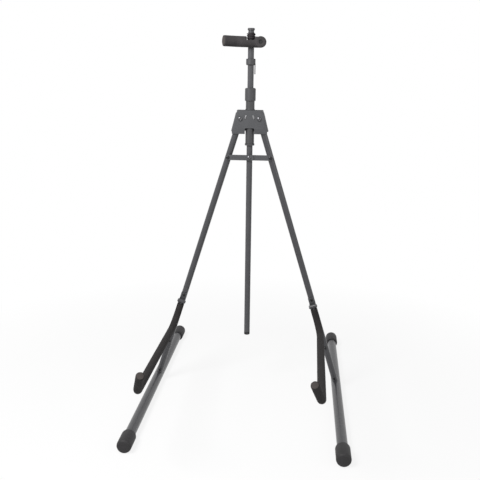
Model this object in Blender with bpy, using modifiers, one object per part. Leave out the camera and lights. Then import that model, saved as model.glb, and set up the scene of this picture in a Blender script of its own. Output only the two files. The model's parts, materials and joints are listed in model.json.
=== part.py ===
# Double bass stand: an A-frame of two hinged legs on two long foot tubes, a sliding mast with a padded
# neck rest, a folding cross brace, and two padded support arms that fold up along the legs.
#
# Row frame: +Z up, the player's side is -Y, +X to the right seen from there. The origin lies on the
# floor at the middle of the stand's outline. Units are metres and degrees.

import math

import bmesh
import bpy
from mathutils import Matrix, Vector

COLLECTION = "double_bass_stand"

# Clearances between pieces
GAP = 0.0003
HOLE_GAP = 0.0003
SEGMENTS = 32

# A-frame: legs hinged in the head, spread sideways
LEG_SPREAD = 17.4
LEG_REACH = 0.8835
LEG_RADIUS = 0.0095
LEG_WALL = 0.0015
LEG_ABOVE_PIVOT = 0.014
PIVOT_HALF_SPACING = 0.028
LEG_END_ABOVE_FOOT_AXIS = 0.009

# Places along a leg, the brace's from the head pivot and the others from the foot tube's axis
BRACE_BOLT_AT = 0.120
ARM_PIVOT_ABOVE_FOOT_AXIS = 0.2825
ARM_SCREW_ABOVE_ARM_PIVOT = 0.0195
MIDDLE_SCREW_ABOVE_FOOT_AXIS = 0.1335
FOOT_SCREW_ABOVE_FOOT_AXIS = 0.0255

# Foot tubes and their rubber caps
FOOT_RADIUS = 0.015
FOOT_WALL = 0.0015
FOOT_FRONT = 0.443
FOOT_REAR = 0.400
CAP_RADIUS = 0.0205
CAP_LENGTH = 0.062
CAP_END_WALL = 0.006
CAP_END_ROUNDING = 0.008
CAP_LIP_ROUNDING = 0.004
PLUG_LENGTH = 0.045

# Mast, its guide sleeve and the clamp collar
MAST_RADIUS = 0.009
MAST_WALL = 0.0015
MAST_LENGTH = 0.8458
MAST_ABOVE_SLEEVE = 0.0818
MAST_PLUG_HEIGHT = 0.009
MAST_PLUG_DEPTH = 0.016
SLEEVE_RADIUS = 0.013
SLEEVE_WALL = 0.0015
SLEEVE_ABOVE_PIVOT = 0.0805
SLEEVE_BELOW_PIVOT = 0.0728
BEAD_RADIUS = 0.0141
BEAD_HEIGHT = 0.0035
BUSH_FLANGE_RADIUS = 0.0143
BUSH_FLANGE_HEIGHT = 0.0055
BUSH_DEPTH = 0.025
COLLET_FLANGE_RADIUS = 0.0127
COLLET_FLANGE_HEIGHT = 0.0022
CLAMP_RADIUS = 0.0159
CLAMP_HEIGHT = 0.0372
CLAMP_TOP_WALL = 0.0055
CLAMP_CHAMFER = 0.0025
CLAMP_LIP = 0.001

# Head housing, a bent sheet around the sleeve and the leg tops
SHEET = 0.0025
HEAD_TOP = 0.025
HEAD_BOTTOM = -0.0445
HEAD_CREASE = -0.0278
HEAD_LIP_BACK = 0.0025
FLANGE_TOP = 0.018
FLANGE_BOTTOM = -0.037
HEAD_HALF_WIDTH_AT_PIVOT = 0.0458
HEAD_EDGE_SLOPE = 0.2556
HEAD_TOP_HALF_WIDTH = 0.038
HEAD_FOOT_HALF_WIDTH = 0.0525
BEND_RADIUS = 0.005
NOTCH_HALF_WIDTH = 0.0141
NOTCH_TOP = -0.0272
NOTCH_ROUNDING = 0.004
RIB_LENGTH = 0.012
RIB_WIDTH = 0.005
RIB_HEIGHT = 0.0009
RIB_AT = 0.0118
RIB_ABOVE_PIVOT = 0.0048

# Fasteners
PIVOT_SHANK = 0.004
PIVOT_HEAD_RADIUS = 0.0064
PIVOT_HEAD_HEIGHT = 0.0042
PIVOT_NUT_RADIUS = 0.0075
PIVOT_NUT_HEIGHT = 0.0065
SPACER_RADIUS = 0.008
SCREW_SHANK = 0.003
SCREW_HEAD_RADIUS = 0.0048
SCREW_HEAD_HEIGHT = 0.0032
SCREW_REACH = 0.006
RIVET_HEAD_RADIUS = 0.0056
BRACE_SPACER_RADIUS = 0.006

# Cross brace, two flat bars that meet in front of the mast
BAR_HEIGHT = 0.016
BAR_THICKNESS = 0.003
LEFT_BAR_OVERRUN = 0.014
RIGHT_BAR_OVERRUN = 0.008

# Support arms, given in the plane of the leg and the forward direction
ARM_ROD_RADIUS = 0.005
ARM_FOAM_RADIUS = 0.011
ARM_STANDOFF = 0.0213
ARM_DROP = 0.085
ARM_RUN = 0.518
ARM_RISE = 3.5
ARM_TIP = 0.081
ARM_TIP_ANGLE = 54.7
ARM_BEND = 0.050
ARM_TIP_BEND = 0.025
ARM_FOAM_BELOW_CHEEK = 0.001
ARM_ROD_SHORT = 0.003
EYE_RADIUS = 0.0075
EYE_HALF_WIDTH = 0.007
BRACKET_SHEET = 0.0022
CHEEK_RADIUS = 0.0085
TONGUE_ABOVE = 0.026
PIN_SHANK = 0.003
PIN_HEAD_RADIUS = 0.0052
PIN_HEAD_HEIGHT = 0.0035
PIN_NUT_RADIUS = 0.0056
PIN_NUT_HEIGHT = 0.003

# Neck clamp, its lever and the neck rest
SPIGOT_HALF_LENGTH = 0.038
SPIGOT_WALL = 0.0015
NECK_COLLAR_RADIUS = 0.01375
NECK_COLLAR_BELOW_JOIN = 0.0091
NECK_COLLAR_ABOVE_JOIN = 0.0093
NECK_COLLAR_TOP_CHAMFER = 0.0012
NECK_COLLAR_CHAMFER = 0.0025
LEVER_AT = 0.0124
LEVER_ABOVE_COLLAR_FOOT = 0.0036
LEVER_LENGTH = 0.0290
LEVER_THICKNESS = 0.0022
LEVER_HALF_WIDTH = 0.004
LEVER_EYE_RADIUS = 0.0019
LEVER_PIN_RADIUS = 0.0008
LEVER_PIN_HALF_LENGTH = 0.0054
POST_LENGTH = 0.0814
KNOB_GROOVE_RADIUS = 0.0084
KNOB_GROOVE_HEIGHT = 0.0065
KNOB_RADIUS = 0.0103
KNOB_HEIGHT = 0.0062
KNOB_DEPTH = 0.016
NECK_ROD_RADIUS = 0.005
NECK_FOAM_RADIUS = 0.0155
NECK_REST_BELOW_POST_TOP = 0.026
NECK_REST_TILT = -0.03
NECK_REST_LEFT = 0.077
NECK_REST_LEFT_KNEE = 0.040
NECK_REST_LEFT_FORWARD = 0.0165
NECK_REST_RIGHT = 0.031
NECK_PRONG = 0.036
NECK_LEFT_BEND = 0.040
NECK_PRONG_BEND = 0.020
NECK_ROD_SHORT = 0.003
CORD_RADIUS = 0.00125
CORD_ABOVE_NECK_REST = 0.0056

# Values that follow from the sizes above
SPREAD = math.radians(LEG_SPREAD)
FOOT_Z = CAP_RADIUS * math.cos(math.pi / SEGMENTS)
PIVOT_Z = FOOT_Z + LEG_REACH * math.cos(SPREAD)
MAST_BORE = MAST_RADIUS - MAST_WALL
SLEEVE_BORE = SLEEVE_RADIUS - SLEEVE_WALL
LEG_BORE = LEG_RADIUS - LEG_WALL
PLATE_BACK = -(SLEEVE_RADIUS + GAP)
PLATE_FRONT = PLATE_BACK - SHEET
BACK_PLATE_FRONT = SLEEVE_RADIUS + GAP
BACK_PLATE_BACK = BACK_PLATE_FRONT + SHEET
RIGHT_BAR_FRONT = -(LEG_RADIUS + GAP + BAR_THICKNESS)
LEFT_BAR_BACK = RIGHT_BAR_FRONT - GAP
LEFT_BAR_FRONT = LEFT_BAR_BACK - BAR_THICKNESS
BRACE_HALF_SPAN = PIVOT_HALF_SPACING + BRACE_BOLT_AT * math.sin(SPREAD)
SLEEVE_TOP = PIVOT_Z + SLEEVE_ABOVE_PIVOT
SLEEVE_BOTTOM = PIVOT_Z - SLEEVE_BELOW_PIVOT
MAST_JOIN = SLEEVE_TOP + MAST_ABOVE_SLEEVE
MAST_BOTTOM = MAST_JOIN - MAST_LENGTH
COLLAR_FOOT = MAST_JOIN - NECK_COLLAR_BELOW_JOIN
LEVER_Z = COLLAR_FOOT + LEVER_ABOVE_COLLAR_FOOT
POST_TOP = MAST_JOIN + POST_LENGTH
NECK_REST_HEIGHT = POST_TOP - NECK_REST_BELOW_POST_TOP
CORD_BOTTOM = NECK_REST_HEIGHT + CORD_ABOVE_NECK_REST
ARM_PIVOT_AT = LEG_REACH - ARM_PIVOT_ABOVE_FOOT_AXIS
ARM_SCREW_AT = ARM_PIVOT_AT - ARM_SCREW_ABOVE_ARM_PIVOT
MIDDLE_SCREW_AT = LEG_REACH - MIDDLE_SCREW_ABOVE_FOOT_AXIS
ARM_FOAM_START = CHEEK_RADIUS + ARM_FOAM_BELOW_CHEEK
NECK_ROD_Y = -(MAST_RADIUS + GAP + NECK_ROD_RADIUS)


def arm_corners():
    """Corners of the arm's centre line as (forward, up) from its pivot, before the bends."""
    rise = math.radians(ARM_RISE)
    tip = math.radians(ARM_TIP_ANGLE)
    knee = (0.0, -ARM_DROP)
    elbow = (ARM_RUN, -ARM_DROP + ARM_RUN * math.tan(rise))
    end = (elbow[0] + ARM_TIP * math.cos(tip), elbow[1] + ARM_TIP * math.sin(tip))
    return [(0.0, 0.0), knee, elbow, end]


ARM_FRONT = ARM_STANDOFF + arm_corners()[-1][0] + ARM_FOAM_RADIUS * math.sin(math.radians(ARM_TIP_ANGLE))
MAST_Y = (ARM_FRONT - FOOT_REAR) / 2


# Scene set-up

def clear_scene():
    for obj in list(bpy.data.objects):
        bpy.data.objects.remove(obj, do_unlink=True)


def new_collection(name):
    collection = bpy.data.collections.new(name)
    bpy.context.scene.collection.children.link(collection)
    return collection


def new_material(name, colour, metallic, roughness):
    material = bpy.data.materials.new(name)
    material.use_nodes = True
    shader = material.node_tree.nodes["Principled BSDF"]
    shader.inputs["Base Color"].default_value = (*colour, 1.0)
    shader.inputs["Metallic"].default_value = metallic
    shader.inputs["Roughness"].default_value = roughness
    return material


clear_scene()
PARTS = new_collection(COLLECTION)
CUTTERS = new_collection("cutters")
MATERIALS = {
    "tube_paint": new_material("tube_paint", (0.105, 0.105, 0.112), 0.3, 0.35),
    "plate_paint": new_material("plate_paint", (0.115, 0.115, 0.120), 0.3, 0.45),
    "black_plastic": new_material("black_plastic", (0.050, 0.049, 0.052), 0.0, 0.50),
    "rubber": new_material("rubber", (0.030, 0.029, 0.030), 0.0, 0.75),
    "foam": new_material("foam", (0.022, 0.020, 0.020), 0.0, 0.95),
    "bolt_steel": new_material("bolt_steel", (0.55, 0.55, 0.56), 1.0, 0.30),
    "black_screw": new_material("black_screw", (0.012, 0.012, 0.013), 0.6, 0.45),
    "cord": new_material("cord", (0.035, 0.028, 0.032), 0.0, 0.85),
}


# Helpers that make and place objects

def new_axis(name, location, parent=None, rotation=(0.0, 0.0, 0.0)):
    """An empty that carries the pieces of one moving body."""
    empty = bpy.data.objects.new(name, None)
    empty.empty_display_size = 0.03
    empty.location = location
    empty.rotation_euler = rotation
    empty.parent = parent
    PARTS.objects.link(empty)
    return empty


def add_piece(name, mesh, material, parent, at=(0.0, 0.0, 0.0), turn=(0.0, 0.0, 0.0)):
    """A named sub-part in its parent's frame; turn is in degrees."""
    mesh.materials.clear()
    mesh.materials.append(MATERIALS[material])
    piece = bpy.data.objects.new(name, mesh)
    piece.location = at
    piece.rotation_euler = [math.radians(angle) for angle in turn]
    piece.parent = parent
    PARTS.objects.link(piece)
    return piece


def add_cutter(mesh, parent, at=(0.0, 0.0, 0.0), turn=(0.0, 0.0, 0.0)):
    cutter = bpy.data.objects.new("cutter", mesh)
    cutter.location = at
    cutter.rotation_euler = [math.radians(angle) for angle in turn]
    cutter.parent = parent
    cutter.hide_render = True
    cutter.display_type = "WIRE"
    CUTTERS.objects.link(cutter)
    return cutter


def cut(piece, cutter, operation="DIFFERENCE"):
    modifier = piece.modifiers.new(operation.lower(), "BOOLEAN")
    modifier.operation = operation
    modifier.object = cutter
    modifier.solver = "EXACT"


def mesh_from_bmesh(name, shape):
    mesh = bpy.data.meshes.new(name)
    bmesh.ops.recalc_face_normals(shape, faces=shape.faces)
    shape.to_mesh(mesh)
    shape.free()
    mesh.shade_smooth()
    mesh.set_sharp_from_angle(angle=math.radians(35))
    return mesh


def cylinder_mesh(radius, bottom, top, segments=SEGMENTS):
    """A closed cylinder along local Z."""
    shape = bmesh.new()
    bmesh.ops.create_cone(shape, cap_ends=True, segments=segments, radius1=radius, radius2=radius,
                          depth=top - bottom, matrix=Matrix.Translation((0, 0, (top + bottom) / 2)))
    return mesh_from_bmesh("cylinder", shape)


def box_mesh(low, high):
    """A closed box between two corners."""
    size = [h - l for l, h in zip(low, high)]
    middle = [(h + l) / 2 for l, h in zip(low, high)]
    shape = bmesh.new()
    bmesh.ops.create_cube(shape, size=1.0, matrix=Matrix.Translation(middle) @ Matrix.Diagonal((*size, 1.0)))
    return mesh_from_bmesh("box", shape)


def arc(centre_r, centre_h, radius, start, end, steps=4):
    """Points of an arc in a profile, from start to end in degrees."""
    points = []
    for i in range(steps + 1):
        angle = math.radians(start + (end - start) * i / steps)
        points.append((centre_r + radius * math.cos(angle), centre_h + radius * math.sin(angle)))
    return points


def add_turned(name, profile, material, parent, at=(0.0, 0.0, 0.0), turn=(0.0, 0.0, 0.0),
               hollow=False, segments=SEGMENTS):
    """A body turned about local Z. The profile runs down its outer side, as (radius, height)."""
    mesh = bpy.data.meshes.new(name)
    edges = [(i, i + 1) for i in range(len(profile) - 1)]
    if hollow:
        edges.append((len(profile) - 1, 0))
    mesh.from_pydata([(radius, 0.0, height) for radius, height in profile], edges, [])
    piece = add_piece(name, mesh, material, parent, at, turn)
    screw = piece.modifiers.new("turn", "SCREW")
    screw.steps = segments
    screw.render_steps = segments
    screw.use_merge_vertices = True
    screw.merge_threshold = 0.00001
    screw.use_smooth_shade = True
    return piece


def tube_profile(outer, inner, bottom, top):
    return [(outer, top), (outer, bottom), (inner, bottom), (inner, top)]


def rounded_path(corners, bends, degrees_per_step=11.0):
    """Points through the corners, each inner corner rounded by an arc of its bend radius."""
    corners = [Vector(corner) for corner in corners]
    points = [corners[0]]
    for before, corner, after, bend in zip(corners, corners[1:], corners[2:], bends):
        back = (before - corner).normalized()
        ahead = (after - corner).normalized()
        turn = math.pi - back.angle(ahead)
        centre = corner + (back + ahead).normalized() * bend / math.cos(turn / 2)
        start = corner + back * bend * math.tan(turn / 2)
        spoke = start - centre
        axis = spoke.cross(-back).normalized()
        steps = max(2, round(math.degrees(turn) / degrees_per_step))
        for i in range(steps + 1):
            points.append(centre + Matrix.Rotation(turn * i / steps, 3, axis) @ spoke)
    points.append(corners[-1])
    return points


def bent_round_mesh(points, radius, bevel_resolution):
    """A closed round bar along the points, made from a bevelled curve."""
    curve = bpy.data.curves.new("bar", "CURVE")
    curve.dimensions = "3D"
    curve.bevel_depth = radius
    curve.bevel_resolution = bevel_resolution
    curve.use_fill_caps = True
    spline = curve.splines.new("POLY")
    spline.points.add(len(points) - 1)
    for point, place in zip(spline.points, points):
        point.co = (*place, 1.0)
    guide = bpy.data.objects.new("bar", curve)
    CUTTERS.objects.link(guide)
    return mesh_from_curve(guide)


def outline_mesh(outline, thickness):
    """A flat piece with the outline in local XY, its thickness centred on local Z."""
    curve = bpy.data.curves.new("outline", "CURVE")
    curve.dimensions = "2D"
    curve.fill_mode = "BOTH"
    curve.extrude = thickness / 2
    spline = curve.splines.new("POLY")
    spline.points.add(len(outline) - 1)
    for point, (x, y) in zip(spline.points, outline):
        point.co = (x, y, 0.0, 1.0)
    spline.use_cyclic_u = True
    guide = bpy.data.objects.new("outline", curve)
    CUTTERS.objects.link(guide)
    return mesh_from_curve(guide, flat=True)


def mesh_from_curve(guide, flat=False):
    """The curve's evaluated mesh with its caps welded on; a flat piece gets whole faces, not triangles."""
    bpy.context.view_layer.update()
    evaluated = guide.evaluated_get(bpy.context.evaluated_depsgraph_get())
    mesh = bpy.data.meshes.new_from_object(evaluated)
    bpy.data.objects.remove(guide, do_unlink=True)
    shape = bmesh.new()
    shape.from_mesh(mesh)
    bmesh.ops.remove_doubles(shape, verts=shape.verts, dist=0.00001)
    if flat:
        bmesh.ops.recalc_face_normals(shape, faces=shape.faces)
        bmesh.ops.dissolve_limit(shape, angle_limit=0.001, verts=shape.verts, edges=shape.edges)
    bpy.data.meshes.remove(mesh)
    return mesh_from_bmesh("shape", shape)


# Frames of the moving bodies

ROOT = new_axis("stand_axis", (0.0, MAST_Y, 0.0))
SIDES = {"left": -1, "right": 1}


def leg_axis(name, side):
    """A leg's frame: origin on its pivot, +Z up along the leg, +X towards the player's right."""
    return new_axis(name, (side * PIVOT_HALF_SPACING, 0.0, PIVOT_Z), ROOT, (0.0, -side * SPREAD, 0.0))


MAST_AXIS = new_axis("mast_axis", (0.0, 0.0, 0.0), ROOT)
LEG_AXES = {name: leg_axis(f"leg_axis_{name}", side) for name, side in SIDES.items()}
ARM_AXES = {name: new_axis(f"arm_axis_{name}", (0.0, -ARM_STANDOFF, -ARM_PIVOT_AT), LEG_AXES[name])
            for name in SIDES}
BAR_AXES = {name: new_axis(f"brace_axis_{name}", (side * BRACE_HALF_SPAN, 0.0, PIVOT_Z
                                                  - BRACE_BOLT_AT * math.cos(SPREAD)), ROOT)
            for name, side in SIDES.items()}


# Fasteners, turned about local Z with the head's seat at height 0

def button_head(radius, height, shank, reach):
    """A domed head over a shank that ends reach below the seat."""
    dome = [(0.0, height)]
    for i in range(1, 5):
        angle = math.radians(90 - 18 * i)
        dome.append((radius * math.cos(angle), height * (0.25 + 0.75 * math.sin(angle))))
    return dome + [(radius, 0.0), (shank, 0.0), (shank, -reach), (0.0, -reach)]


def add_bolt(name, material, parent, at, turn, head_radius, head_height, shank, reach):
    """A button-head bolt with a hexagon socket."""
    bolt = add_turned(name, button_head(head_radius, head_height, shank, reach), material, parent, at, turn,
                      segments=24)
    socket = add_cutter(cylinder_mesh(head_radius * 0.45, head_height * 0.45, head_height * 2, 6),
                        parent, at, turn)
    cut(bolt, socket)
    return bolt


def add_nut(name, material, parent, at, turn, across, bore, height):
    """A hexagon nut from height 0 up, with its bore."""
    nut = add_piece(name, cylinder_mesh(across, 0.0, height, 6), material, parent, at, turn)
    cut(nut, add_cutter(cylinder_mesh(bore, -height, 2 * height, 16), parent, at, turn))
    return nut


FACING_PLAYER = (90, 0, 0)
FACING_REAR = (-90, 0, 0)
FACING_RIGHT = (0, 90, 0)
FACING_LEFT = (0, -90, 0)


# Head: guide sleeve, housing sheets and leg pivots

def add_sleeve():
    bead_foot = PIVOT_Z + HEAD_TOP + GAP
    bead_top = bead_foot + BEAD_HEIGHT
    profile = [(SLEEVE_RADIUS, SLEEVE_TOP), (SLEEVE_RADIUS, bead_top), (BEAD_RADIUS, bead_top - 0.001),
               (BEAD_RADIUS, bead_foot), (SLEEVE_RADIUS, bead_foot), (SLEEVE_RADIUS, SLEEVE_BOTTOM),
               (SLEEVE_BORE, SLEEVE_BOTTOM), (SLEEVE_BORE, SLEEVE_TOP)]
    add_turned("guide_sleeve", profile, "tube_paint", ROOT, hollow=True)


def add_bushes():
    """The flanged bush at the sleeve's foot, and the collet that the clamp collar closes on the mast."""
    bore = MAST_RADIUS + HOLE_GAP
    seat = SLEEVE_BORE - HOLE_GAP
    foot = SLEEVE_BOTTOM - GAP
    add_turned("lower_bush", [(seat, foot + BUSH_DEPTH), (seat, foot), (BUSH_FLANGE_RADIUS, foot),
                              (BUSH_FLANGE_RADIUS, foot - BUSH_FLANGE_HEIGHT), (bore, foot - BUSH_FLANGE_HEIGHT),
                              (bore, foot + BUSH_DEPTH)], "black_plastic", ROOT, hollow=True)
    top = SLEEVE_TOP + GAP
    add_turned("clamp_collet", [(COLLET_FLANGE_RADIUS, top + COLLET_FLANGE_HEIGHT), (COLLET_FLANGE_RADIUS, top),
                                (seat, top), (seat, top - BUSH_DEPTH), (bore, top - BUSH_DEPTH),
                                (bore, top + COLLET_FLANGE_HEIGHT)], "black_plastic", ROOT, hollow=True)


def head_half_width(height):
    """Outer half width of the housing at a height over the pivots."""
    return HEAD_HALF_WIDTH_AT_PIVOT - HEAD_EDGE_SLOPE * height


def housing_row(height, front):
    """The housing's outer line at one height: side flange, bend, front face, bend, side flange."""
    half = head_half_width(height)
    bend_y = front + BEND_RADIUS
    row = [(-half, SLEEVE_RADIUS)]
    row += arc(-half + BEND_RADIUS, bend_y, BEND_RADIUS, 180, 270)
    row += arc(half - BEND_RADIUS, bend_y, BEND_RADIUS, 270, 360)
    row += [(half, SLEEVE_RADIUS)]
    return [(x, y, height) for x, y in row]


def add_front_plate():
    """The bent front sheet with its side flanges, the crease at its foot, the notch and two pressed ribs."""
    rows = [housing_row(HEAD_TOP, PLATE_FRONT), housing_row(HEAD_CREASE, PLATE_FRONT),
            housing_row(HEAD_BOTTOM, PLATE_FRONT + HEAD_LIP_BACK)]
    count = len(rows[0])
    faces = [(r * count + i, (r + 1) * count + i, (r + 1) * count + i + 1, r * count + i + 1)
             for r in range(len(rows) - 1) for i in range(count - 1)]
    mesh = bpy.data.meshes.new("head_front_plate")
    mesh.from_pydata([point for row in rows for point in row], [], faces)
    mesh.shade_smooth()
    mesh.set_sharp_from_angle(angle=math.radians(25))
    at = (0.0, 0.0, PIVOT_Z)
    plate = add_piece("head_front_plate", mesh, "plate_paint", ROOT, at)
    sheet = plate.modifiers.new("sheet", "SOLIDIFY")
    sheet.thickness = SHEET
    sheet.offset = -1.0
    far = 0.1
    for side in SIDES.values():
        rib = outline_mesh(slot_outline(-RIB_LENGTH / 2 + RIB_WIDTH / 2, RIB_LENGTH / 2 - RIB_WIDTH / 2,
                                        RIB_WIDTH / 2, 5), 2 * RIB_HEIGHT + SHEET / 2)
        rib_at = (side * RIB_AT, PLATE_FRONT + SHEET / 4, PIVOT_Z + RIB_ABOVE_PIVOT)
        cut(plate, add_cutter(rib, ROOT, rib_at, (90, 90 - side * LEG_SPREAD, 0)), "UNION")
        inner, outer = sorted((side * HEAD_TOP_HALF_WIDTH, side * far))
        cut(plate, add_cutter(box_mesh((inner, -far, FLANGE_TOP), (outer, far, far)), ROOT, at))
        inner, outer = sorted((side * HEAD_FOOT_HALF_WIDTH, side * far))
        cut(plate, add_cutter(box_mesh((inner, -far, -far), (outer, far, FLANGE_BOTTOM)), ROOT, at))
        inner, outer = sorted((side * NOTCH_HALF_WIDTH, side * far))
        flange_gap = PLATE_FRONT + SHEET + 0.003
        cut(plate, add_cutter(box_mesh((inner, flange_gap, -far), (outer, far, FLANGE_BOTTOM)), ROOT, at))
        hole = cylinder_mesh(PIVOT_SHANK + HOLE_GAP, -far, far, 24)
        cut(plate, add_cutter(hole, ROOT, (side * PIVOT_HALF_SPACING, -far - SHEET, PIVOT_Z), FACING_PLAYER))
    cut(plate, add_cutter(notch_mesh(), ROOT, (0.0, PLATE_FRONT, PIVOT_Z), FACING_PLAYER))


def notch_mesh():
    """The round-cornered opening in the housing's foot, which the sleeve shows through."""
    half, top, rounding = NOTCH_HALF_WIDTH, NOTCH_TOP, NOTCH_ROUNDING
    outline = [(half, 3 * HEAD_BOTTOM)]
    outline += arc(half - rounding, top - rounding, rounding, 0, 90)
    outline += arc(-half + rounding, top - rounding, rounding, 90, 180)
    outline += [(-half, 3 * HEAD_BOTTOM)]
    return outline_mesh(outline, 6 * SHEET)


def slot_outline(start, end, radius, steps):
    """A straight bar along X with round ends."""
    return arc(end, 0.0, radius, -90, 90, steps) + arc(start, 0.0, radius, 90, 270, steps)


def add_back_plate():
    top, bottom = HEAD_TOP, FLANGE_BOTTOM
    outline = [(-head_half_width(bottom), bottom), (head_half_width(bottom), bottom),
               (HEAD_TOP_HALF_WIDTH, top), (-HEAD_TOP_HALF_WIDTH, top)]
    at = (0.0, (BACK_PLATE_FRONT + BACK_PLATE_BACK) / 2, PIVOT_Z)
    plate = add_piece("head_back_plate", outline_mesh(outline, SHEET), "plate_paint", ROOT, at, FACING_PLAYER)
    for side in SIDES.values():
        hole = cylinder_mesh(PIVOT_SHANK + HOLE_GAP, -SHEET * 2, SHEET * 2, 24)
        cut(plate, add_cutter(hole, ROOT, (side * PIVOT_HALF_SPACING, at[1], PIVOT_Z), FACING_PLAYER))


def add_leg_pivots():
    """A bolt, its nut and two spacers carry each leg between the housing's sheets."""
    nut_seat = BACK_PLATE_BACK + GAP
    reach = nut_seat + PIVOT_NUT_HEIGHT + 0.001 - (PLATE_FRONT - GAP)
    spacer_length = SLEEVE_RADIUS - LEG_RADIUS - 2 * GAP + GAP
    for name, side in SIDES.items():
        x = side * PIVOT_HALF_SPACING
        add_bolt(f"leg_pivot_bolt_{name}", "bolt_steel", ROOT, (x, PLATE_FRONT - GAP, PIVOT_Z), FACING_PLAYER,
                 PIVOT_HEAD_RADIUS, PIVOT_HEAD_HEIGHT, PIVOT_SHANK, reach)
        add_nut(f"leg_pivot_nut_{name}", "bolt_steel", ROOT, (x, nut_seat, PIVOT_Z), FACING_REAR,
                PIVOT_NUT_RADIUS, PIVOT_SHANK + HOLE_GAP, PIVOT_NUT_HEIGHT)
        ring = tube_profile(SPACER_RADIUS, PIVOT_SHANK + HOLE_GAP, 0.0, spacer_length)
        seat = LEG_RADIUS + GAP
        add_turned(f"pivot_spacer_front_{name}", ring, "black_plastic", ROOT, (x, -seat, PIVOT_Z),
                   FACING_PLAYER, hollow=True, segments=24)
        add_turned(f"pivot_spacer_rear_{name}", ring, "black_plastic", ROOT, (x, seat, PIVOT_Z),
                   FACING_REAR, hollow=True, segments=24)


def add_clamp_collar():
    """The collar that screws down over the sleeve's top and closes the collet on the mast."""
    roof = SLEEVE_TOP + GAP + COLLET_FLANGE_HEIGHT + GAP
    top = roof + CLAMP_TOP_WALL
    bottom = top - CLAMP_HEIGHT
    bore = SLEEVE_RADIUS + HOLE_GAP
    mouth = MAST_RADIUS + 3 * HOLE_GAP
    add_turned("clamp_collar", [(CLAMP_RADIUS - CLAMP_CHAMFER, top), (CLAMP_RADIUS, top - CLAMP_CHAMFER),
                                (CLAMP_RADIUS, bottom + CLAMP_LIP), (CLAMP_RADIUS - CLAMP_LIP, bottom),
                                (bore, bottom), (bore, roof), (mouth, roof), (mouth, top)],
               "black_plastic", MAST_AXIS, hollow=True)


# Mast, neck clamp and lever

def add_mast():
    plug_top = MAST_BOTTOM + MAST_PLUG_HEIGHT
    add_turned("mast_tube", tube_profile(MAST_RADIUS, MAST_BORE, plug_top + GAP, MAST_JOIN - GAP / 2),
               "tube_paint", MAST_AXIS, hollow=True)
    add_turned("mast_end_plug", [(0.0, plug_top + MAST_PLUG_DEPTH), (MAST_BORE - HOLE_GAP, plug_top + MAST_PLUG_DEPTH),
                                 (MAST_BORE - HOLE_GAP, plug_top), (MAST_RADIUS, plug_top),
                                 (MAST_RADIUS, MAST_BOTTOM + 0.001), (MAST_RADIUS - 0.001, MAST_BOTTOM),
                                 (0.0, MAST_BOTTOM)], "rubber", MAST_AXIS)
    spigot = MAST_BORE - HOLE_GAP
    add_turned("mast_spigot", tube_profile(spigot, spigot - SPIGOT_WALL, MAST_JOIN - SPIGOT_HALF_LENGTH,
                                           MAST_JOIN + SPIGOT_HALF_LENGTH), "bolt_steel", MAST_AXIS, hollow=True)


def add_neck_collar():
    top = MAST_JOIN + NECK_COLLAR_ABOVE_JOIN
    foot = COLLAR_FOOT
    radius, bore = NECK_COLLAR_RADIUS, MAST_RADIUS + HOLE_GAP
    collar = add_turned("neck_clamp_collar", [(radius - NECK_COLLAR_TOP_CHAMFER, top),
                                              (radius, top - NECK_COLLAR_TOP_CHAMFER),
                                              (radius, foot + NECK_COLLAR_CHAMFER),
                                              (radius - NECK_COLLAR_CHAMFER, foot), (bore, foot), (bore, top)],
                        "black_plastic", MAST_AXIS, hollow=True)
    room = LEVER_EYE_RADIUS + GAP
    pocket = box_mesh((LEVER_AT - room, -LEVER_HALF_WIDTH - GAP, foot - room),
                      (2 * radius, LEVER_HALF_WIDTH + GAP, LEVER_Z + room))
    cut(collar, add_cutter(pocket, MAST_AXIS))
    hole = cylinder_mesh(LEVER_PIN_RADIUS + HOLE_GAP, -radius, radius, 12)
    cut(collar, add_cutter(hole, MAST_AXIS, (LEVER_AT, 0.0, LEVER_Z), FACING_PLAYER))
    pin = cylinder_mesh(LEVER_PIN_RADIUS, -LEVER_PIN_HALF_LENGTH, LEVER_PIN_HALF_LENGTH, 12)
    add_piece("lever_pin", pin, "bolt_steel", MAST_AXIS, (LEVER_AT, 0.0, LEVER_Z), FACING_PLAYER)


def add_lever():
    """The thumb lever that hangs beside the mast from a pin in the neck collar."""
    axis = new_axis("lever_axis", (LEVER_AT, 0.0, LEVER_Z), MAST_AXIS)
    half = LEVER_THICKNESS / 2
    blade = box_mesh((-half, -LEVER_HALF_WIDTH, -LEVER_LENGTH), (half, LEVER_HALF_WIDTH, 0.0))
    lever = add_piece("clamp_lever", blade, "black_plastic", axis)
    eye = cylinder_mesh(LEVER_EYE_RADIUS, -LEVER_HALF_WIDTH, LEVER_HALF_WIDTH, 20)
    cut(lever, add_cutter(eye, axis, turn=FACING_PLAYER), "UNION")
    hole = cylinder_mesh(LEVER_PIN_RADIUS + HOLE_GAP, -2 * LEVER_HALF_WIDTH, 2 * LEVER_HALF_WIDTH, 12)
    cut(lever, add_cutter(hole, axis, turn=FACING_PLAYER))


# Neck rest: the post above the clamp, the padded rest, the cord and the knob

def neck_corners(short):
    """Corners of the neck rest's centre line, left to right, its ends drawn in by short."""
    left = Vector((-NECK_REST_LEFT, NECK_ROD_Y - NECK_REST_LEFT_FORWARD))
    knee = Vector((-NECK_REST_LEFT_KNEE, NECK_ROD_Y))
    elbow = Vector((NECK_REST_RIGHT, NECK_ROD_Y))
    tip = Vector((NECK_REST_RIGHT, NECK_ROD_Y - NECK_PRONG))
    left += (knee - left).normalized() * short
    tip += (elbow - tip).normalized() * short
    return [(p.x, p.y, NECK_REST_HEIGHT + NECK_REST_TILT * p.x) for p in (left, knee, elbow, tip)]


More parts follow.
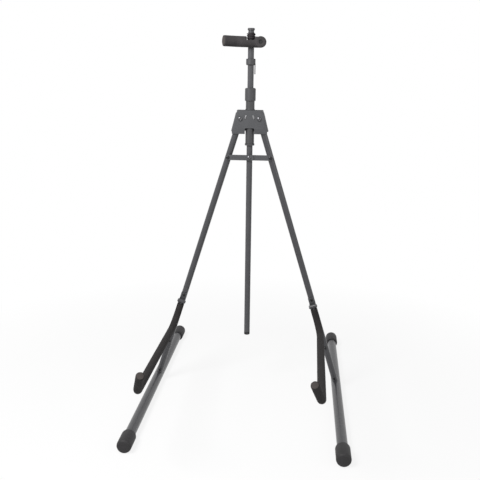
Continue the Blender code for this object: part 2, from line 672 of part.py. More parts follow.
def add_neck_rest(axis):
    bends = (NECK_LEFT_BEND, NECK_PRONG_BEND)
    rod = bent_round_mesh(rounded_path(neck_corners(NECK_ROD_SHORT), bends), NECK_ROD_RADIUS, 4)
    add_piece("neck_rod", rod, "tube_paint", axis)
    path = rounded_path(neck_corners(0.0), bends)
    foam = add_piece("neck_foam", bent_round_mesh(path, NECK_FOAM_RADIUS, 8), "foam", axis)
    bore = bent_round_mesh(rounded_path(neck_corners(-0.01), bends), NECK_ROD_RADIUS + HOLE_GAP, 4)
    cut(foam, add_cutter(bore, axis))
    reach = 2 * NECK_FOAM_RADIUS
    channel = cylinder_mesh(MAST_RADIUS + 2 * GAP, NECK_REST_HEIGHT - reach, NECK_REST_HEIGHT + reach)
    cut(foam, add_cutter(channel, axis))
    half = MAST_RADIUS + GAP + 2 * CORD_RADIUS + GAP
    notch = box_mesh((-half, NECK_ROD_Y - reach, CORD_BOTTOM - GAP), (half, reach, NECK_REST_HEIGHT + reach))
    cut(foam, add_cutter(notch, axis))


def add_neck_post(axis):
    add_turned("neck_post", tube_profile(MAST_RADIUS, MAST_BORE, MAST_JOIN + GAP / 2, POST_TOP),
               "tube_paint", axis, hollow=True)
    inner = MAST_RADIUS + GAP
    outer = inner + 2 * CORD_RADIUS
    add_turned("neck_cord", tube_profile(outer, inner, CORD_BOTTOM, POST_TOP - GAP), "cord", axis, hollow=True)
    seat = POST_TOP + GAP
    groove_top = seat + KNOB_GROOVE_HEIGHT
    top = groove_top + KNOB_HEIGHT
    rounding = 0.0015
    profile = [(0.0, top), (KNOB_RADIUS - rounding, top), (KNOB_RADIUS, top - rounding),
               (KNOB_RADIUS, groove_top), (KNOB_GROOVE_RADIUS, groove_top), (KNOB_GROOVE_RADIUS, seat + 0.001),
               (MAST_RADIUS, seat + 0.001), (MAST_RADIUS, seat), (MAST_BORE - HOLE_GAP, seat),
               (MAST_BORE - HOLE_GAP, seat - KNOB_DEPTH), (0.0, seat - KNOB_DEPTH)]
    add_turned("post_knob", profile, "black_plastic", axis)


# Legs, feet and cross brace

def leg_hole(depth, distance, parent):
    """A cutter for a screw hole across the leg, from its front to the given depth."""
    mesh = cylinder_mesh(SCREW_SHANK + HOLE_GAP, -depth, 2 * LEG_RADIUS, 16)
    return add_cutter(mesh, parent, (0.0, 0.0, -distance), FACING_PLAYER)


def foot_saddle(parent):
    """A cutter as wide as the foot tube, where the leg comes down on it."""
    mesh = cylinder_mesh(FOOT_RADIUS + GAP, -4 * FOOT_RADIUS, 4 * FOOT_RADIUS, 48)
    return add_cutter(mesh, parent, (0.0, 0.0, -LEG_REACH), FACING_PLAYER)


def add_leg(name):
    axis = LEG_AXES[name]
    low = -(LEG_REACH - LEG_END_ABOVE_FOOT_AXIS)
    leg = add_turned(f"leg_tube_{name}", tube_profile(LEG_RADIUS, LEG_BORE, low, LEG_ABOVE_PIVOT), "tube_paint",
                     axis, hollow=True)
    pivot_hole = cylinder_mesh(PIVOT_SHANK + HOLE_GAP, -2 * LEG_RADIUS, 2 * LEG_RADIUS, 24)
    cut(leg, add_cutter(pivot_hole, axis, turn=FACING_PLAYER))
    foot_screw_at = LEG_REACH - FOOT_SCREW_ABOVE_FOOT_AXIS
    for distance in (BRACE_BOLT_AT, ARM_SCREW_AT, MIDDLE_SCREW_AT, foot_screw_at):
        cut(leg, leg_hole(0.0, distance, axis))
    cut(leg, foot_saddle(axis))
    plug = add_piece(f"leg_plug_{name}", cylinder_mesh(LEG_BORE - HOLE_GAP, low, low + PLUG_LENGTH),
                     "bolt_steel", axis)
    cut(plug, leg_hole(SCREW_REACH + GAP, foot_screw_at, axis))
    cut(plug, foot_saddle(axis))
    for label, distance in (("middle", MIDDLE_SCREW_AT), ("foot", foot_screw_at)):
        add_bolt(f"{label}_screw_{name}", "black_screw", axis, (0.0, -LEG_RADIUS - GAP, -distance),
                 FACING_PLAYER, SCREW_HEAD_RADIUS, SCREW_HEAD_HEIGHT, SCREW_SHANK, LEG_RADIUS + GAP + SCREW_REACH)


def add_foot(name):
    """A foot tube along Y with a rubber cap pushed over each end."""
    side = SIDES[name]
    x = side * (PIVOT_HALF_SPACING + LEG_REACH * math.sin(SPREAD))
    axis = new_axis(f"foot_axis_{name}", (x, 0.0, FOOT_Z), ROOT)
    front = FOOT_FRONT - CAP_END_WALL - GAP
    rear = FOOT_REAR - CAP_END_WALL - GAP
    flat_down = 180 / SEGMENTS
    add_turned(f"foot_tube_{name}", tube_profile(FOOT_RADIUS, FOOT_RADIUS - FOOT_WALL, -rear, front),
               "tube_paint", axis, turn=FACING_PLAYER, hollow=True)
    bore = FOOT_RADIUS + HOLE_GAP
    lip = CAP_LENGTH - CAP_LIP_ROUNDING
    profile = [(0.0, 0.0)]
    profile += arc(CAP_RADIUS - CAP_END_ROUNDING, -CAP_END_ROUNDING, CAP_END_ROUNDING, 90, 0, 5)
    profile += arc(CAP_RADIUS - CAP_LIP_ROUNDING, -lip, CAP_LIP_ROUNDING, 0, -90, 3)
    profile += [(bore, -CAP_LENGTH), (bore, -CAP_END_WALL), (0.0, -CAP_END_WALL)]
    for end, y, facing in (("front", -FOOT_FRONT, 90), ("rear", FOOT_REAR, -90)):
        cap = add_turned(f"foot_cap_{end}_{name}", profile, "rubber", axis, (0.0, y, 0.0))
        cap.rotation_mode = "ZYX"
        cap.rotation_euler = (math.radians(facing), 0.0, 0.0)
        cap.rotation_mode = "QUATERNION"
        spin = Matrix.Rotation(math.radians(facing), 4, "X") @ Matrix.Rotation(math.radians(flat_down), 4, "Z")
        cap.rotation_quaternion = spin.to_quaternion()


def add_brace():
    """Two flat bars, each on a bolt in its leg; the left one lies in front and carries the centre rivet."""
    hole = SCREW_SHANK + HOLE_GAP
    half_span = BRACE_HALF_SPAN
    for name, side in SIDES.items():
        axis = BAR_AXES[name]
        front = LEFT_BAR_FRONT if name == "left" else RIGHT_BAR_FRONT
        overrun = LEFT_BAR_OVERRUN if name == "left" else RIGHT_BAR_OVERRUN
        inner = half_span + overrun - BAR_HEIGHT / 2
        outline = slot_outline(0.0, inner, BAR_HEIGHT / 2, 8)
        outline = [(-side * x, z) for x, z in outline]
        middle = front + BAR_THICKNESS / 2
        bar = add_piece(f"brace_bar_{name}", outline_mesh(outline, BAR_THICKNESS), "plate_paint", axis,
                        (0.0, middle, 0.0), FACING_PLAYER)
        for x in (0.0, -side * half_span):
            cutter = cylinder_mesh(hole, -2 * BAR_THICKNESS, 2 * BAR_THICKNESS, 20)
            cut(bar, add_cutter(cutter, axis, (x, middle, 0.0), FACING_PLAYER))
        add_bolt(f"brace_bolt_{name}", "bolt_steel", LEG_AXES[name], (0.0, front - GAP, -BRACE_BOLT_AT),
                 FACING_PLAYER, RIVET_HEAD_RADIUS, SCREW_HEAD_HEIGHT, SCREW_SHANK, SCREW_REACH - front + GAP)
    add_turned("brace_spacer", tube_profile(BRACE_SPACER_RADIUS, hole, 0.0, BAR_THICKNESS), "black_plastic",
               LEG_AXES["left"], (0.0, -LEG_RADIUS - GAP, -BRACE_BOLT_AT), FACING_PLAYER, hollow=True,
               segments=20)
    add_bolt("brace_centre_rivet", "bolt_steel", BAR_AXES["left"], (half_span, LEFT_BAR_FRONT - GAP, 0.0),
             FACING_PLAYER, RIVET_HEAD_RADIUS, SCREW_HEAD_HEIGHT, SCREW_SHANK, BAR_THICKNESS)


# Support arms

def add_arm_bracket(name):
    """A U-shaped bracket screwed to the leg's front; its cheeks hold the arm's pivot pin."""
    axis = LEG_AXES[name]
    back = -LEG_RADIUS - GAP
    inner = EYE_HALF_WIDTH + GAP
    outer = inner + BRACKET_SHEET
    z = -ARM_PIVOT_AT
    base = box_mesh((-outer, back - BRACKET_SHEET, z - CHEEK_RADIUS), (outer, back, z + TONGUE_ABOVE))
    bracket = add_piece(f"arm_bracket_{name}", base, "plate_paint", axis)
    root = -(ARM_STANDOFF + back - BRACKET_SHEET / 2)
    for side in SIDES.values():
        outline = arc(0.0, 0.0, CHEEK_RADIUS, -90, 90, 8) + [(root, CHEEK_RADIUS), (root, -CHEEK_RADIUS)]
        cheek_at = (side * (inner + outer) / 2, -ARM_STANDOFF, z)
        cut(bracket, add_cutter(outline_mesh(outline, BRACKET_SHEET), axis, cheek_at, (90, 0, -90)), "UNION")
    cut(bracket, leg_hole(0.0, ARM_SCREW_AT, axis))
    pin_hole = cylinder_mesh(PIN_SHANK + HOLE_GAP, -2 * outer, 2 * outer, 20)
    cut(bracket, add_cutter(pin_hole, axis, (0.0, -ARM_STANDOFF, z), FACING_RIGHT))
    add_bolt(f"arm_screw_{name}", "black_screw", axis, (0.0, back - BRACKET_SHEET - GAP, -ARM_SCREW_AT),
             FACING_PLAYER, SCREW_HEAD_RADIUS, SCREW_HEAD_HEIGHT, SCREW_SHANK,
             LEG_RADIUS + BRACKET_SHEET + 2 * GAP + SCREW_REACH)
    seat = outer + GAP
    reach = 2 * seat + PIN_NUT_HEIGHT + 0.0005
    at = (0.0, -ARM_STANDOFF, z)
    add_bolt(f"arm_pin_{name}", "bolt_steel", axis, (seat, *at[1:]), FACING_RIGHT, PIN_HEAD_RADIUS,
             PIN_HEAD_HEIGHT, PIN_SHANK, reach)
    add_nut(f"arm_pin_nut_{name}", "bolt_steel", axis, (-seat, *at[1:]), FACING_LEFT, PIN_NUT_RADIUS,
            PIN_SHANK + HOLE_GAP, PIN_NUT_HEIGHT)


def arm_path(start_down, end_short):
    """The arm's rounded centre line in its own frame, from start_down below the pivot to its tip."""
    corners = [Vector((0.0, -forward, up)) for forward, up in arm_corners()]
    corners[0] = Vector((0.0, 0.0, -start_down))
    corners[-1] += (corners[-2] - corners[-1]).normalized() * end_short
    return rounded_path(corners, (ARM_BEND, ARM_TIP_BEND))


def add_arm(name):
    axis = ARM_AXES[name]
    rod = add_piece(f"arm_rod_{name}", bent_round_mesh(arm_path(0.0, ARM_ROD_SHORT), ARM_ROD_RADIUS, 4),
                    "tube_paint", axis)
    eye = cylinder_mesh(EYE_RADIUS, -EYE_HALF_WIDTH, EYE_HALF_WIDTH, 24)
    cut(rod, add_cutter(eye, axis, turn=FACING_RIGHT), "UNION")
    hole = cylinder_mesh(PIN_SHANK + HOLE_GAP, -2 * EYE_HALF_WIDTH, 2 * EYE_HALF_WIDTH, 20)
    cut(rod, add_cutter(hole, axis, turn=FACING_RIGHT))
    foam = add_piece(f"arm_foam_{name}", bent_round_mesh(arm_path(ARM_FOAM_START, 0.0), ARM_FOAM_RADIUS, 6),
                     "foam", axis)
    bore = bent_round_mesh(arm_path(ARM_FOAM_START - 0.01, -0.01), ARM_ROD_RADIUS + HOLE_GAP, 4)
    cut(foam, add_cutter(bore, axis))


def build():
    add_sleeve()
    add_bushes()
    add_front_plate()
    add_back_plate()
    add_leg_pivots()
    add_clamp_collar()
    add_mast()
    add_neck_collar()
    add_lever()
    neck_axis = new_axis("neck_axis", (0.0, 0.0, 0.0), MAST_AXIS)
    add_neck_post(neck_axis)
    add_neck_rest(neck_axis)
    for name in SIDES:
        add_leg(name)
        add_foot(name)
        add_arm_bracket(name)
        add_arm(name)
    add_brace()
    bpy.context.view_layer.update()


build()
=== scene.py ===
# The double bass stand, dressed for a studio photograph: painted tubes, foam pads, rubber caps, a cord
# winding and steel bolts, on a white floor.

import json
import math

import bmesh
import bpy
from mathutils import Matrix, Vector


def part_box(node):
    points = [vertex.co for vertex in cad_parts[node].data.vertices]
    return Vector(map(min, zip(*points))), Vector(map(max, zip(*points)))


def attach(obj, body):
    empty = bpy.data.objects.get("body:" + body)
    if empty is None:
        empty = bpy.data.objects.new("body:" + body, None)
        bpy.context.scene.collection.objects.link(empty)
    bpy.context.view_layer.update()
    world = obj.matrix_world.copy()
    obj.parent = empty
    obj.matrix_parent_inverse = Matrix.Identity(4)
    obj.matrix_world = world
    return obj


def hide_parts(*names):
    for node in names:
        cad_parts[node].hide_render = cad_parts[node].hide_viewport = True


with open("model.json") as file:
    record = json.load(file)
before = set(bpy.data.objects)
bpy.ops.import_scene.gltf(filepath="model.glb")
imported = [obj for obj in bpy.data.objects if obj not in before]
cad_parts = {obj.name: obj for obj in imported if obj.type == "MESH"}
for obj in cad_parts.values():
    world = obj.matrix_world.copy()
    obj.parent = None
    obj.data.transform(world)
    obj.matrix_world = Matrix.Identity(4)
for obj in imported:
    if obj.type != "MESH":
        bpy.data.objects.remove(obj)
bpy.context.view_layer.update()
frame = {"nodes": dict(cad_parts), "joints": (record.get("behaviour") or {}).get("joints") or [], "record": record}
NODES = frame["nodes"]
SLOT_OF = {entry["node"]: entry["material_slot"] for entry in frame["record"]["subparts"]}

# Viewpoint, measured from the mast's foot on the floor; angles in degrees
CAMERA_FROM_MAST = (0.1542, -1.9798, 0.9917)
CAMERA_YAW = 5.19
CAMERA_PITCH = 14.14
CAMERA_ROLL = 0.66
SENSOR_WIDTH = 36.0
LENS = 49.42

# Surfaces: linear colour, roughness, size of the grain and depth of its relief in metres
SURFACES = {
    "tube_paint": dict(colour=(0.044, 0.044, 0.048), roughness=0.28, grain=0.0012, relief=0.00004),
    # A lighter copy of the tube paint for the mast and neck post, as painted light
    "mast_paint_painted_lighter": dict(colour=(0.060, 0.060, 0.064), roughness=0.32, grain=0.0012, relief=0.00004,
                       gloss_level=0.4),
    "sleeve_paint": dict(colour=(0.042, 0.042, 0.044), roughness=0.40, grain=0.0012, relief=0.00005),
    "plate_paint": dict(colour=(0.055, 0.056, 0.060), roughness=0.45, grain=0.0010, relief=0.00005),
    # Light grey on the ribs is a painted highlight
    "rib_painted_highlight": dict(colour=(0.200, 0.200, 0.205), roughness=0.35, grain=0.0010, relief=0.00003,
                      metallic=0.3),
    "black_plastic": dict(colour=(0.042, 0.042, 0.045), roughness=0.48, grain=0.0008, relief=0.00006),
    "rubber": dict(colour=(0.022, 0.021, 0.022), roughness=0.62, grain=0.0007, relief=0.00008,
                   gloss_level=0.35),
    "foam": dict(colour=(0.026, 0.024, 0.024), roughness=0.95, grain=0.0009, relief=0.00030,
                 variation=0.25, gloss_level=0.2),
    "foam_cut": dict(colour=(0.065, 0.057, 0.054), roughness=0.95, grain=0.0006, relief=0.00030,
                     variation=0.30, gloss_level=0.2),
    # The neck pad's foam, a lighter copy of the arms' foam as painted light
    "neck_foam": dict(colour=(0.044, 0.041, 0.042), roughness=0.95, grain=0.0009, relief=0.00030,
                      variation=0.25, gloss_level=0.2),
    "bolt_steel": dict(colour=(0.110, 0.110, 0.115), roughness=0.22, grain=0.0008, relief=0.00003,
                       metallic=1.0),
    # Black screw finish; on the neck rod it is painted shade in the foam pad's hole
    "black_screw": dict(colour=(0.010, 0.010, 0.011), roughness=0.40, grain=0.0006, relief=0.00003,
                        metallic=0.3),
    "cord": dict(colour=(0.030, 0.025, 0.028), roughness=0.80, grain=0.0005, relief=0.00012,
                 gloss_level=0.3),
}
FINE_DETAIL = 3.0
BROAD_DETAIL = 2.0
BROAD_SCALE_SHARE = 0.05
LEAST_ROUGHNESS_SHARE = 0.85
MOST_ROUGHNESS_SHARE = 1.15
RELIEF_STRENGTH = 0.5

# Nodes whose surface differs from their slot's; the mast and neck post take a lighter copy of the tube paint as
# painted light
FINISH_OF = {
    "guide_sleeve": "sleeve_paint",
    "mast_tube": "mast_paint_painted_lighter",
    "neck_post": "mast_paint_painted_lighter",
    # The neck rod is painted black as painted shade in the foam pad's hole
    "neck_rod": "black_screw",
    "clamp_lever": "rubber",
    "brace_bolt_left": "black_screw",
    "brace_bolt_right": "black_screw",
}

# Edges of the rigid pieces; angles in degrees
WELD_DISTANCE = 0.00001
FLAT_ANGLE = 0.5
EDGE_ROUNDING = 0.0003
EDGE_SEGMENTS = 2
EDGE_ANGLE = 35.0

# Foam pads and their cut ends
FOAM_VOXEL = 0.0015
FOAM_SOFTENING = 0.5
FOAM_SOFTENING_ROUNDS = 5
FOAM_DIMPLE = 0.0005
FOAM_DIMPLE_SIZE = 0.007
ARM_TIP_ANGLE = 54.7
NECK_FOAM_END = (-0.913, -0.407, 0.027)
RIM_DEPTH = 0.0005
CUT_FACE_SHARE = 0.86
CUT_FACE_TAPER = 0.86
CUT_FACE_DEPTH = 0.0012
CUT_FACE_SEGMENTS = 32

# Pressed ribs on the head's front sheet, covered by light grey domes as a painted highlight
RIB_SIZE = (0.0052, 0.0022, 0.0122)
RIB_AT = 0.0118
RIB_BELOW_PLATE_TOP = 0.0202
RIB_TILT = 17.4
RIB_SEGMENTS = 24
RIB_RINGS = 12

# Cord winding, and the two ties over it by their hand and starting angle in radians
CORD_RADIUS = 0.0011
TIE_RADIUS = 0.0008
TIE_TURNS = 2.5
TIES = ((1, 0.4), (-1, 1.7))
STEPS_PER_TURN = 24
CORD_ROUNDNESS = 3

# Floor and light
FLOOR_SIZE = 60.0
FLOOR_COLOUR = (0.92, 0.92, 0.92, 1.0)
FLOOR_ROUGHNESS = 0.7
FLOOR_WHITE = 0.85
SHADOW_RADIUS = 0.6
WHITE_RADIUS = 1.3
AMBIENT = 0.28

# Lamps: name, place, aim, diameter, power in watts
LAMPS = (
    ("key", (-0.9, -1.2, 1.9), (0.0, 0.1, 0.95), 0.9, 46.0),
    ("fill", (2.2, -1.2, 1.6), (0.0, 0.0, 0.5), 1.8, 12.0),
)


# Materials

def shader_node(tree, kind, **inputs):
    node = tree.nodes.new(kind)
    for name, value in inputs.items():
        node.inputs[name.replace("_", " ")].default_value = value
    return node


def shade_of(colour, share):
    return (*(channel * share for channel in colour), 1.0)


def new_surface(name, colour, roughness, grain, relief, metallic=0.0, variation=0.15, gloss_level=0.5):
    """A painted, moulded or woven surface whose colour, gloss and relief vary at the grain's scale."""
    material = bpy.data.materials.new(name)
    material.use_nodes = True
    tree = material.node_tree
    shader = tree.nodes["Principled BSDF"]
    shader.inputs["Metallic"].default_value = metallic
    shader.inputs["Specular IOR Level"].default_value = gloss_level
    place = tree.nodes.new("ShaderNodeTexCoord")
    fine = shader_node(tree, "ShaderNodeTexNoise", Scale=1 / grain, Detail=FINE_DETAIL)
    broad = shader_node(tree, "ShaderNodeTexNoise", Scale=BROAD_SCALE_SHARE / grain, Detail=BROAD_DETAIL)
    for noise in (fine, broad):
        tree.links.new(place.outputs["Object"], noise.inputs["Vector"])
    tint = tree.nodes.new("ShaderNodeMix")
    tint.data_type = "RGBA"
    tint.inputs["A"].default_value = shade_of(colour, 1 - variation)
    tint.inputs["B"].default_value = shade_of(colour, 1 + variation)
    tree.links.new(broad.outputs["Fac"], tint.inputs["Factor"])
    tree.links.new(tint.outputs["Result"], shader.inputs["Base Color"])
    gloss = shader_node(tree, "ShaderNodeMapRange", To_Min=roughness * LEAST_ROUGHNESS_SHARE,
                        To_Max=min(1.0, roughness * MOST_ROUGHNESS_SHARE))
    tree.links.new(fine.outputs["Fac"], gloss.inputs["Value"])
    tree.links.new(gloss.outputs["Result"], shader.inputs["Roughness"])
    bump = shader_node(tree, "ShaderNodeBump", Strength=RELIEF_STRENGTH, Distance=relief)
    tree.links.new(fine.outputs["Fac"], bump.inputs["Height"])
    tree.links.new(bump.outputs["Normal"], shader.inputs["Normal"])
    return material


MATERIALS = {name: new_surface(name, **look) for name, look in SURFACES.items()}


def paint(piece, slot):
    piece.data.materials.clear()
    piece.data.materials.append(MATERIALS[slot])


# Rigid pieces

def refine(piece):
    """Joins the node's facets into one smooth surface with slightly rounded edges."""
    normals = piece.data.attributes.get("custom_normal")
    if normals:
        piece.data.attributes.remove(normals)
    piece.data.shade_smooth()
    weld = piece.modifiers.new("weld", "WELD")
    weld.merge_threshold = WELD_DISTANCE
    plane = piece.modifiers.new("plane", "DECIMATE")
    plane.decimate_type = "DISSOLVE"
    plane.angle_limit = math.radians(FLAT_ANGLE)
    edges = piece.modifiers.new("edges", "BEVEL")
    edges.width = EDGE_ROUNDING
    edges.segments = EDGE_SEGMENTS
    edges.limit_method = "ANGLE"
    edges.angle_limit = math.radians(EDGE_ANGLE)
    edges.harden_normals = True


for node_name, node in NODES.items():
    paint(node, FINISH_OF.get(node_name, SLOT_OF[node_name]))
    refine(node)


def add_object(name, data):
    piece = bpy.data.objects.new(name, data)
    bpy.context.scene.collection.objects.link(piece)
    return piece


def mesh_from(name, shape):
    mesh = bpy.data.meshes.new(name)
    shape.to_mesh(mesh)
    shape.free()
    mesh.shade_smooth()
    return mesh


# Foam pads: the solid's form with softened ends and a lightly dimpled skin

def add_foam(node_name, body, slot="foam"):
    pad = add_object(node_name + "_pad", NODES[node_name].data.copy())
    remesh = pad.modifiers.new("skin", "REMESH")
    remesh.mode = "VOXEL"
    remesh.voxel_size = FOAM_VOXEL
    remesh.use_smooth_shade = True
    soften = pad.modifiers.new("soften", "SMOOTH")
    soften.factor = FOAM_SOFTENING
    soften.iterations = FOAM_SOFTENING_ROUNDS
    dimples = bpy.data.textures.new(node_name + "_dimples", "CLOUDS")
    dimples.noise_scale = FOAM_DIMPLE_SIZE
    displace = pad.modifiers.new("dimples", "DISPLACE")
    displace.texture = dimples
    displace.texture_coords = "LOCAL"
    displace.strength = FOAM_DIMPLE
    paint(pad, slot)
    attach(pad, body)
    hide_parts(node_name)


def add_cut_face(node_name, direction, body):
    """The paler cut end of a foam pad, over the rod inside it."""
    points = [vertex.co for vertex in NODES[node_name].data.vertices]
    reach = max(point.dot(direction) for point in points)
    rim = [point for point in points if point.dot(direction) > reach - RIM_DEPTH]
    centre = sum(rim, Vector()) / len(rim)
    radius = max((point - centre).length for point in rim) * CUT_FACE_SHARE
    shape = bmesh.new()
    bmesh.ops.create_cone(shape, cap_ends=True, segments=CUT_FACE_SEGMENTS, radius1=radius,
                          radius2=radius * CUT_FACE_TAPER, depth=CUT_FACE_DEPTH)
    face = add_object(node_name + "_end", mesh_from(node_name + "_end", shape))
    turn = direction.to_track_quat("Z", "Y").to_matrix().to_4x4()
    face.matrix_world = Matrix.Translation(centre) @ turn
    paint(face, "foam_cut")
    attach(face, body)


def arm_tip_direction(joint_name):
    """The way the arm's upturned tip points, from the arm's own joint."""
    axis = next(joint["axis"] for joint in frame["joints"] if joint["name"] == joint_name)
    forward = Vector((0.0, -1.0, 0.0))
    up = forward.cross(-Vector(axis)).normalized()
    tip = math.radians(ARM_TIP_ANGLE)
    return forward * math.cos(tip) + up * math.sin(tip)


for side in ("left", "right"):
    add_foam(f"arm_foam_{side}", f"arm_{side}")
    add_cut_face(f"arm_foam_{side}", arm_tip_direction(f"arm_fold_{side}"), f"arm_{side}")
# The neck pad takes the lighter neck_foam surface, as painted light
add_foam("neck_foam", "neck", "neck_foam")
add_cut_face("neck_foam", Vector(NECK_FOAM_END).normalized(), "neck")


# Pressed ribs on the head's front sheet, painted light grey over the plate as a painted highlight

def add_rib_painted_highlight(side):
    plate_low, plate_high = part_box("head_front_plate")
    shape = bmesh.new()
    bmesh.ops.create_uvsphere(shape, u_segments=RIB_SEGMENTS, v_segments=RIB_RINGS, radius=0.5)
    rib = add_object("head_rib", mesh_from("head_rib", shape))
    rib.scale = RIB_SIZE
    rib.rotation_euler = (0.0, math.radians(-side * RIB_TILT), 0.0)
    rib.location = (side * RIB_AT, plate_low.y, plate_high.z - RIB_BELOW_PLATE_TOP)
    paint(rib, "rib_painted_highlight")
    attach(rib, "stand")


add_rib_painted_highlight(-1)
add_rib_painted_highlight(1)


# Cord winding round the top of the neck post, with two crossed ties over it

def helix(centre, radius, bottom, top, turns, hand, start=0.0):
    steps = round(turns * STEPS_PER_TURN)
    points = []
    for i in range(steps + 1):
        share = i / steps
        angle = start + hand * share * turns * 2 * math.pi
        points.append((centre.x + radius * math.cos(angle), centre.y + radius * math.sin(angle),
                       bottom + (top - bottom) * share))
    return points


def add_round_line(name, routes, radius, slot, body):
    curve = bpy.data.curves.new(name, "CURVE")
    curve.dimensions = "3D"
    curve.bevel_depth = radius
    curve.bevel_resolution = CORD_ROUNDNESS
    curve.use_fill_caps = True
    for route in routes:
        spline = curve.splines.new("POLY")
        spline.points.add(len(route) - 1)
        for point, place in zip(spline.points, route):
            point.co = (*place, 1.0)
        spline.use_smooth = True
    line = add_object(name, curve)
    paint(line, slot)
    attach(line, body)
    return line


cord_low, cord_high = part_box("neck_cord")
post_low, post_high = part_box("neck_post")
post_centre = (post_low + post_high) / 2
post_radius = (post_high.x - post_low.x) / 2
wound_height = cord_high.z - cord_low.z - 2 * CORD_RADIUS
wound = helix(post_centre, post_radius + CORD_RADIUS, cord_low.z + CORD_RADIUS,
              cord_high.z - CORD_RADIUS, wound_height / (2 * CORD_RADIUS), 1)
winding = add_round_line("neck_cord_winding", [wound], CORD_RADIUS, "cord", "neck")
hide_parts("neck_cord")
tie_radius = post_radius + 2 * CORD_RADIUS + TIE_RADIUS
ties = [helix(post_centre, tie_radius, cord_low.z + 2 * CORD_RADIUS, cord_high.z - 2 * CORD_RADIUS,
              TIE_TURNS, hand, start) for hand, start in TIES]
add_round_line("neck_cord_ties", ties, TIE_RADIUS, "cord", "neck")


# Floor, world, light and camera

def background_ray(tree):
    """One for rays that see the background, directly, mirrored or through glass; otherwise zero."""
    path = tree.nodes.new("ShaderNodeLightPath")
    seen = path.outputs["Is Camera Ray"]
    for kind in ("Is Glossy Ray", "Is Transmission Ray"):
        either = tree.nodes.new("ShaderNodeMath")
        either.operation = "MAXIMUM"
        tree.links.new(seen, either.inputs[0])
        tree.links.new(path.outputs[kind], either.inputs[1])
        seen = either.outputs[0]
    return seen


def whiten_background(tree, output_socket, lit_shader_socket):
    """Mixes white over a lit surface for the rays that see the background, fully so past the shadow."""
    place = tree.nodes.new("ShaderNodeTexCoord")
    length = tree.nodes.new("ShaderNodeVectorMath")
    length.operation = "LENGTH"
    tree.links.new(place.outputs["Object"], length.inputs[0])
    whiteness = shader_node(tree, "ShaderNodeMapRange", From_Min=SHADOW_RADIUS, From_Max=WHITE_RADIUS,
                            To_Min=FLOOR_WHITE, To_Max=1.0)
    tree.links.new(length.outputs["Value"], whiteness.inputs["Value"])
    share = tree.nodes.new("ShaderNodeMath")
    share.operation = "MULTIPLY"
    tree.links.new(background_ray(tree), share.inputs[0])
    tree.links.new(whiteness.outputs["Result"], share.inputs[1])
    glow = shader_node(tree, "ShaderNodeEmission", Strength=1.0)
    mix = tree.nodes.new("ShaderNodeMixShader")
    tree.links.new(share.outputs[0], mix.inputs["Fac"])
    tree.links.new(lit_shader_socket, mix.inputs[1])
    tree.links.new(glow.outputs[0], mix.inputs[2])
    tree.links.new(mix.outputs[0], output_socket)


def rest_on_feet(floor):
    """Keeps the floor under the feet, which come down below the head as the legs fold together."""
    group = bpy.data.node_groups.new("floor_level", "GeometryNodeTree")
    group.interface.new_socket("Geometry", in_out="INPUT", socket_type="NodeSocketGeometry")
    group.interface.new_socket("Geometry", in_out="OUTPUT", socket_type="NodeSocketGeometry")
    feet = group.nodes.new("GeometryNodeJoinGeometry")
    for name, node in NODES.items():
        if name.startswith("foot_"):
            foot = group.nodes.new("GeometryNodeObjectInfo")
            foot.transform_space = "RELATIVE"
            foot.inputs["Object"].default_value = node
            group.links.new(foot.outputs["Geometry"], feet.inputs["Geometry"])
    extent = group.nodes.new("GeometryNodeBoundBox")
    group.links.new(feet.outputs["Geometry"], extent.inputs["Geometry"])
    lowest = group.nodes.new("ShaderNodeSeparateXYZ")
    group.links.new(extent.outputs["Min"], lowest.inputs["Vector"])
    drop = group.nodes.new("ShaderNodeCombineXYZ")
    group.links.new(lowest.outputs["Z"], drop.inputs["Z"])
    plane = group.nodes.new("NodeGroupInput")
    shift = group.nodes.new("GeometryNodeTransform")
    group.links.new(plane.outputs["Geometry"], shift.inputs["Geometry"])
    group.links.new(drop.outputs["Vector"], shift.inputs["Translation"])
    result = group.nodes.new("NodeGroupOutput")
    group.links.new(shift.outputs["Geometry"], result.inputs["Geometry"])
    floor.modifiers.new("level", "NODES").node_group = group


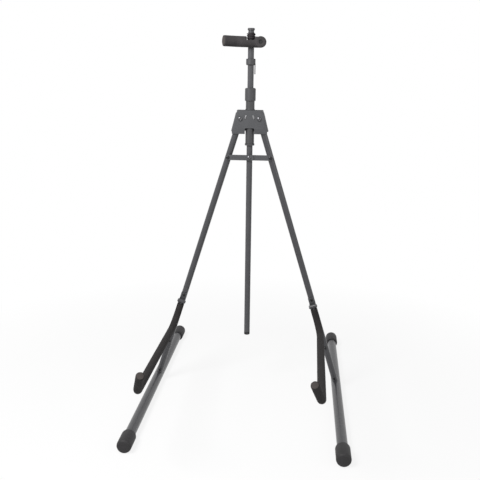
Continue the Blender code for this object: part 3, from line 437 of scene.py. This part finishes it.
def add_floor():
    mesh = bpy.data.meshes.new("floor")
    half = FLOOR_SIZE / 2
    corners = [(-half, -half, 0), (half, -half, 0), (half, half, 0), (-half, half, 0)]
    mesh.from_pydata(corners, [], [(0, 1, 2, 3)])
    floor = add_object("floor", mesh)
    material = bpy.data.materials.new("floor")
    material.use_nodes = True
    tree = material.node_tree
    shader = tree.nodes["Principled BSDF"]
    shader.inputs["Base Color"].default_value = FLOOR_COLOUR
    shader.inputs["Roughness"].default_value = FLOOR_ROUGHNESS
    whiten_background(tree, tree.nodes["Material Output"].inputs["Surface"], shader.outputs[0])
    mesh.materials.append(material)
    rest_on_feet(floor)


def add_world():
    world = bpy.data.worlds.new("studio")
    bpy.context.scene.world = world
    world.use_nodes = True
    tree = world.node_tree
    background = tree.nodes["Background"]
    background.inputs["Color"].default_value = (1.0, 1.0, 1.0, 1.0)
    strength = shader_node(tree, "ShaderNodeMapRange", To_Min=AMBIENT, To_Max=1.0)
    tree.links.new(background_ray(tree), strength.inputs["Value"])
    tree.links.new(strength.outputs["Result"], background.inputs["Strength"])


def add_lamp(name, place, target, size, power):
    lamp = bpy.data.lights.new(name, "AREA")
    lamp.shape = "DISK"
    lamp.size = size
    lamp.energy = power
    holder = add_object(name, lamp)
    holder.location = place
    holder.rotation_euler = (Vector(target) - Vector(place)).to_track_quat("-Z", "Y").to_euler()


def add_camera():
    mast_low, mast_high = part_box("mast_tube")
    mast_foot = Vector(((mast_low.x + mast_high.x) / 2, (mast_low.y + mast_high.y) / 2, 0.0))
    yaw, pitch, roll = (math.radians(angle) for angle in (CAMERA_YAW, CAMERA_PITCH, CAMERA_ROLL))
    camera = bpy.data.cameras.new("camera")
    camera.sensor_width = SENSOR_WIDTH
    camera.lens = LENS
    holder = add_object("camera", camera)
    turn = (Matrix.Rotation(yaw, 4, "Z") @ Matrix.Rotation(math.pi / 2 - pitch, 4, "X")
            @ Matrix.Rotation(roll, 4, "Z"))
    holder.matrix_world = Matrix.Translation(mast_foot + Vector(CAMERA_FROM_MAST)) @ turn
    bpy.context.scene.camera = holder


add_floor()
add_world()
for lamp_settings in LAMPS:
    add_lamp(*lamp_settings)
add_camera()
bpy.context.scene.view_settings.view_transform = "Standard"
